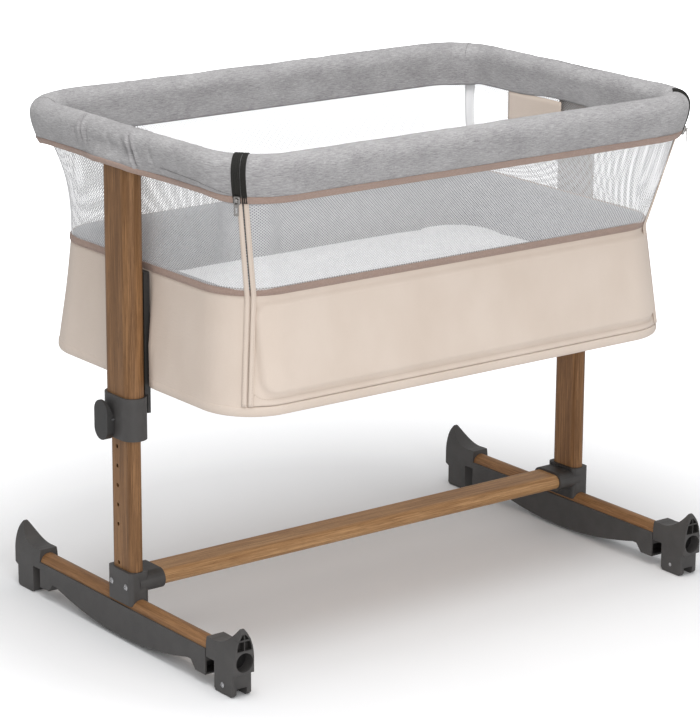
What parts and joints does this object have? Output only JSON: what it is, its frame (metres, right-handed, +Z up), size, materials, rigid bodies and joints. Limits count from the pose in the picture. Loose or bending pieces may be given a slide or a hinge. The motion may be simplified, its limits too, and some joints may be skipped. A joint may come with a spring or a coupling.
{
  "type": "bedside crib",
  "caption": "Bedside sleeping crib: padded rail, mesh walls and soft lower shell on height-adjustable legs, with a zipped fold-down side, rocker feet and turning foot caps.",
  "frame": {"origin": "on the floor, under the middle of the crib", "axes": "+X along the crib, +Y towards the back side (the fold-down side faces -Y), +Z up"},
  "size_m": [0.9654, 0.639, 0.8083],
  "materials": {
    "wood_look_tube": "satin wood-grain print",
    "dark_plastic": "matte",
    "bright_steel": "bright",
    "wheel_plastic": "matte",
    "frame_steel": "satin",
    "grey_melange_fabric": "woven melange",
    "mauve_binding": "woven tape",
    "white_mesh": "open net",
    "beige_fabric": "plain weave",
    "mattress_cover": "soft knit",
    "board": "plain board",
    "zip_tape": "woven tape",
    "zip_metal": "polished"
  },
  "bodies": {
    "base": {"foot_bar_left": "wood_look_tube", "foot_bar_right": "wood_look_tube", "rocker_left": "dark_plastic", "rocker_right": "dark_plastic", "tee_bracket_left": "dark_plastic", "tee_bracket_right": "dark_plastic", "inner_leg_tube_left": "wood_look_tube", "inner_leg_tube_right": "wood_look_tube", "inner_leg_guide_left": "dark_plastic", "inner_leg_guide_right": "dark_plastic", "cross_bar": "wood_look_tube", "bracket_screws": "bright_steel", "rocker_screws": "bright_steel", "bar_end_plugs": "dark_plastic"},
    "cap_front_left": {"foot_cap_front_left": "dark_plastic", "wheel_axle_left": "bright_steel"},
    "cap_rear_left": {"foot_cap_rear_left": "dark_plastic"},
    "wheel_left": {"wheel_left": "wheel_plastic"},
    "lever_left": {"release_lever_left": "dark_plastic"},
    "lock_left": {"lock_pin_left": "bright_steel"},
    "slider_left": {"zip_slider_left": "zip_metal"},
    "pull_left": {"zip_pull_left": "zip_metal"},
    "cap_front_right": {"foot_cap_front_right": "dark_plastic", "wheel_axle_right": "bright_steel"},
    "cap_rear_right": {"foot_cap_rear_right": "dark_plastic"},
    "wheel_right": {"wheel_right": "wheel_plastic"},
    "lever_right": {"release_lever_right": "dark_plastic"},
    "lock_right": {"lock_pin_right": "bright_steel"},
    "slider_right": {"zip_slider_right": "zip_metal"},
    "pull_right": {"zip_pull_right": "zip_metal"},
    "basket": {"outer_leg_tube_left": "wood_look_tube", "outer_leg_tube_right": "wood_look_tube", "collar_left": "dark_plastic", "collar_right": "dark_plastic", "side_bracket_left": "dark_plastic", "side_bracket_right": "dark_plastic", "rail_clamp_left": "dark_plastic", "rail_clamp_right": "dark_plastic", "lever_spring_left": "bright_steel", "lever_spring_right": "bright_steel", "top_rail_tube": "frame_steel", "rail_end_plugs": "dark_plastic", "lower_frame_tube": "frame_steel", "base_board": "board", "mattress": "mattress_cover", "rail_cover": "grey_melange_fabric", "rail_binding": "mauve_binding", "mesh_wall": "white_mesh", "seam_binding": "mauve_binding", "lower_shell": "beige_fabric", "leg_patches": "beige_fabric", "zip_tapes": "zip_tape", "lever_pins": "bright_steel"},
    "front_side": {"front_rail_tube": "frame_steel", "front_rail_cover": "grey_melange_fabric", "front_mesh": "white_mesh", "front_panel": "beige_fabric", "front_bindings": "mauve_binding", "front_board": "board", "front_zip_tapes": "zip_tape"}
  },
  "joints": [
    {"name": "height_adjust", "type": "slide", "parent": "base", "child": "basket", "axis": [0, 0, 1], "range_m": [-0.1565, 0.0313]},
    {"name": "front_side_hinge", "type": "hinge", "parent": "basket", "child": "front_side", "pos_m": [0, -0.2765, 0.4253], "axis": [1, 0, 0], "range_deg": [0, 150]},
    {"name": "foot_cap_front_left_turn", "type": "hinge", "parent": "base", "child": "cap_front_left", "pos_m": [-0.448, -0.28, 0.055], "axis": [0, 1, 0], "range_deg": [0, 90]},
    {"name": "foot_cap_rear_left_turn", "type": "hinge", "parent": "base", "child": "cap_rear_left", "pos_m": [-0.448, 0.28, 0.055], "axis": [0, 1, 0], "range_deg": [0, 90]},
    {"name": "wheel_left_roll", "type": "hinge", "parent": "cap_front_left", "child": "wheel_left", "pos_m": [-0.448, -0.28, 0.014], "axis": [1, 0, 0], "continuous": true},
    {"name": "lever_left_rock", "type": "hinge", "parent": "basket", "child": "lever_left", "pos_m": [-0.47305, 0.017, 0.357], "axis": [0, 1, 0], "range_deg": [0, 15], "stiffness_Nm_per_rad": 0.4, "springref_deg": -11.46},
    {"name": "lock_pin_left_draw", "type": "slide", "parent": "basket", "child": "lock_left", "axis": [-1, 0, 0], "range_m": [0, 0.0045]},
    {"name": "zip_slider_left_run", "type": "slide", "parent": "basket", "child": "slider_left", "axis": [0.2395, 0.2156, -0.9466], "range_m": [0, 0.138]},
    {"name": "zip_pull_left_swing", "type": "hinge", "parent": "slider_left", "child": "pull_left", "pos_m": [-0.43468, -0.2782, 0.74315], "axis": [-0.6691, 0.7431, 0], "range_deg": [-12, 120]},
    {"name": "foot_cap_front_right_turn", "type": "hinge", "parent": "base", "child": "cap_front_right", "pos_m": [0.448, -0.28, 0.055], "axis": [0, -1, 0], "range_deg": [0, 90]},
    {"name": "foot_cap_rear_right_turn", "type": "hinge", "parent": "base", "child": "cap_rear_right", "pos_m": [0.448, 0.28, 0.055], "axis": [0, -1, 0], "range_deg": [0, 90]},
    {"name": "wheel_right_roll", "type": "hinge", "parent": "cap_front_right", "child": "wheel_right", "pos_m": [0.448, -0.28, 0.014], "axis": [1, 0, 0], "continuous": true},
    {"name": "lever_right_rock", "type": "hinge", "parent": "basket", "child": "lever_right", "pos_m": [0.47305, -0.017, 0.357], "axis": [0, -1, 0], "range_deg": [0, 15], "stiffness_Nm_per_rad": 0.4, "springref_deg": -11.46},
    {"name": "lock_pin_right_draw", "type": "slide", "parent": "basket", "child": "lock_right", "axis": [1, 0, 0], "range_m": [0, 0.0045]},
    {"name": "zip_slider_right_run", "type": "slide", "parent": "basket", "child": "slider_right", "axis": [-0.2395, 0.2156, -0.9466], "range_m": [0, 0.138]},
    {"name": "zip_pull_right_swing", "type": "hinge", "parent": "slider_right", "child": "pull_right", "pos_m": [0.43468, -0.2782, 0.74315], "axis": [-0.6691, -0.7431, 0], "range_deg": [-12, 120]}
  ],
  "couplings": [
    {"joint": "lock_pin_left_draw", "follows": "lever_left_rock", "m_per_rad": 0.016},
    {"joint": "lock_pin_right_draw", "follows": "lever_right_rock", "m_per_rad": 0.016}
  ]
}
